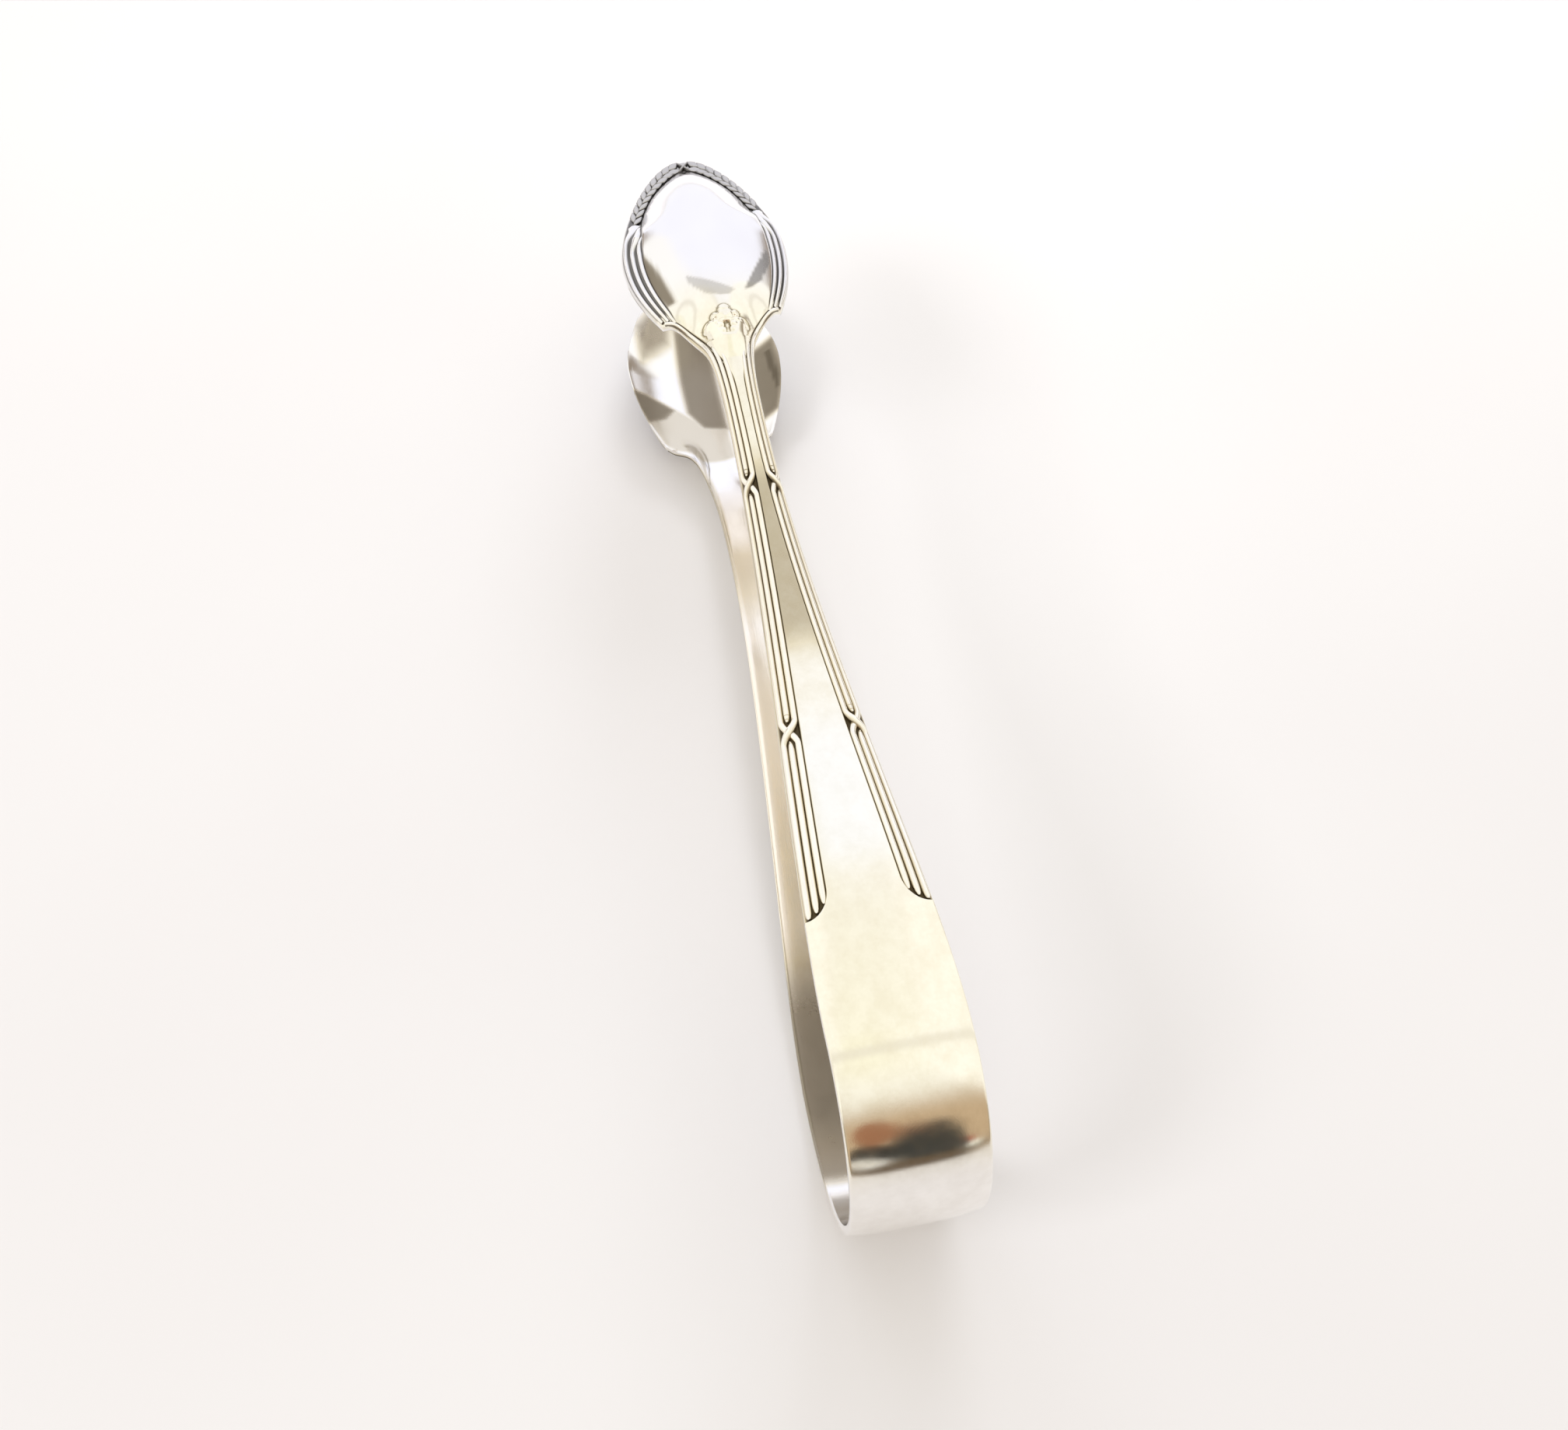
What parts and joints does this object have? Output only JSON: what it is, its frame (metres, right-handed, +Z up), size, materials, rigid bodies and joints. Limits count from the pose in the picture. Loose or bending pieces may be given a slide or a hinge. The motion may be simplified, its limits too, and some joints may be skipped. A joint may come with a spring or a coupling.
{
  "type": "sugar tongs",
  "caption": "Bow-spring sugar tongs of plated metal: a bent strip with reeded, tied arms and egg-shaped bowls that close together to pick up a lump of sugar.",
  "frame": {"origin": "middle of the length and width, on the surface that the tongs lie on", "axes": "+X from the bow to the tips, +Y across the strip, +Z up through both arms"},
  "size_m": [0.145, 0.0222, 0.035],
  "materials": {
    "silver_plate": "bright silver plate, warm and a little tarnished, dark in the grooves"
  },
  "bodies": {
    "bow": {"spring_bow": "silver_plate"},
    "upper_jaw": {"upper_arm": "silver_plate", "upper_bowl": "silver_plate"},
    "lower_jaw": {"lower_arm": "silver_plate", "lower_bowl": "silver_plate"}
  },
  "joints": [
    {"name": "upper_flex", "type": "hinge", "parent": "bow", "child": "upper_jaw", "pos_m": [-0.06566, 0, 0.02816], "axis": [0, 1, 0], "range_deg": [-2, 4.4], "stiffness_Nm_per_rad": 6, "deforming": ["spring_bow"]},
    {"name": "lower_flex", "type": "hinge", "parent": "bow", "child": "lower_jaw", "pos_m": [-0.06566, 0, 0.00684], "axis": [0, -1, 0], "range_deg": [-2, 4.4], "stiffness_Nm_per_rad": 6, "deforming": ["spring_bow"]}
  ],
  "couplings": [
    {"joint": "lower_flex", "follows": "upper_flex", "ratio": 1}
  ]
}
